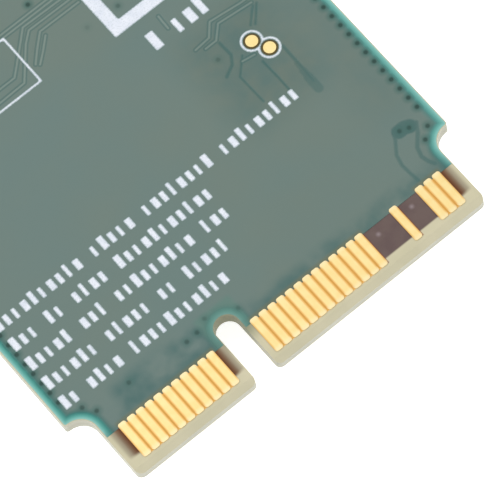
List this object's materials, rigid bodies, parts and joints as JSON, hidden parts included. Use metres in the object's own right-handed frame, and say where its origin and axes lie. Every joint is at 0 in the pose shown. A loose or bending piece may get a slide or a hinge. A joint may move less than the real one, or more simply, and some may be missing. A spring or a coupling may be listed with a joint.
{
  "type": "laptop wifi card",
  "caption": "Keyed plug-in wifi module: thin green board with gold edge contacts, a half-round screw notch, a shield can and coaxial antenna receptacles on its back.",
  "frame": {"origin": "centre of the card in plan, at the outer face of the shield lid that it lies on", "axes": "+Z out of the print side, +X along the contacts towards contact 74, +Y from the finger edge to the screw notch"},
  "size_m": [0.022, 0.03, 0.0023],
  "materials": {
    "laminate": "cream glass-fibre laminate, satin",
    "solder_mask": "grey-green solder mask, satin",
    "hard_gold": "satin hard gold plating",
    "white_print": "matte white print",
    "tin": "bright tin",
    "shield_metal": "satin nickel silver sheet",
    "chip_mould": "matte black mould",
    "ceramic_part": "off-white ceramic",
    "ferrite": "dark grey ferrite",
    "capacitor_body": "tan ceramic",
    "connector_plastic": "ivory moulded plastic",
    "connector_gold": "gold-plated sheet"
  },
  "bodies": {
    "root": {"circuit_board": "laminate", "print_side_mask": "solder_mask", "component_side_mask": "solder_mask", "print_side_contacts": "hard_gold", "component_side_contacts": "hard_gold", "mounting_land": "hard_gold", "test_pads": "hard_gold", "silkscreen_print": "white_print", "shield_land": "tin", "shield_frame": "shield_metal", "shield_lid": "shield_metal", "wifi_processor": "chip_mould", "front_end_main": "chip_mould", "front_end_aux": "chip_mould", "rf_filter_main": "ceramic_part", "rf_filter_aux": "ceramic_part", "reference_crystal": "shield_metal", "power_inductors": "ferrite", "bulk_capacitors": "capacitor_body", "decoupling_capacitors": "capacitor_body", "resistors": "ferrite", "matching_inductors": "ceramic_part", "antenna_main_housing": "connector_plastic", "antenna_main_shell": "connector_gold", "antenna_main_pin": "connector_gold", "antenna_aux_housing": "connector_plastic", "antenna_aux_shell": "connector_gold", "antenna_aux_pin": "connector_gold"}
  },
  "joints": []
}
